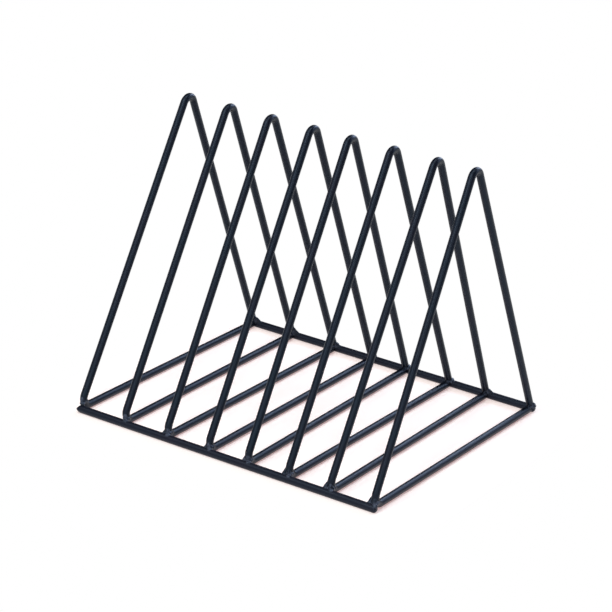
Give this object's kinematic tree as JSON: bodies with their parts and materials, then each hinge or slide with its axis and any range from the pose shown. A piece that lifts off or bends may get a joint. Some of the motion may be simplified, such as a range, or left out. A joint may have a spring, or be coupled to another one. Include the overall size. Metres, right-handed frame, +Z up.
{
  "type": "desktop book rack",
  "caption": "Freestanding desktop book rack: upright bent wire triangles welded to a front and a back rail, with open slots between them for books, files or boards.",
  "frame": {"origin": "on the table under the middle of the rack's footprint", "axes": "+X along the rails, from divider 1 to divider 8; +Y from the front rail to the back rail; +Z up"},
  "size_m": [0.2286, 0.205, 0.1932],
  "materials": {
    "wire_coat": "satin blue-black powder coat on steel wire",
    "rail_coat": "satin blue-black powder coat on steel rod",
    "weld_coat": "satin blue-black powder coat over weld metal"
  },
  "bodies": {
    "root": {"front_rail": "rail_coat", "back_rail": "rail_coat", "divider_1": "wire_coat", "divider_2": "wire_coat", "divider_3": "wire_coat", "divider_4": "wire_coat", "divider_5": "wire_coat", "divider_6": "wire_coat", "divider_7": "wire_coat", "divider_8": "wire_coat", "front_weld_1": "weld_coat", "front_weld_2": "weld_coat", "front_weld_3": "weld_coat", "front_weld_4": "weld_coat", "front_weld_5": "weld_coat", "front_weld_6": "weld_coat", "front_weld_7": "weld_coat", "front_weld_8": "weld_coat", "back_weld_1": "weld_coat", "back_weld_2": "weld_coat", "back_weld_3": "weld_coat", "back_weld_4": "weld_coat", "back_weld_5": "weld_coat", "back_weld_6": "weld_coat", "back_weld_7": "weld_coat", "back_weld_8": "weld_coat"}
  },
  "joints": []
}
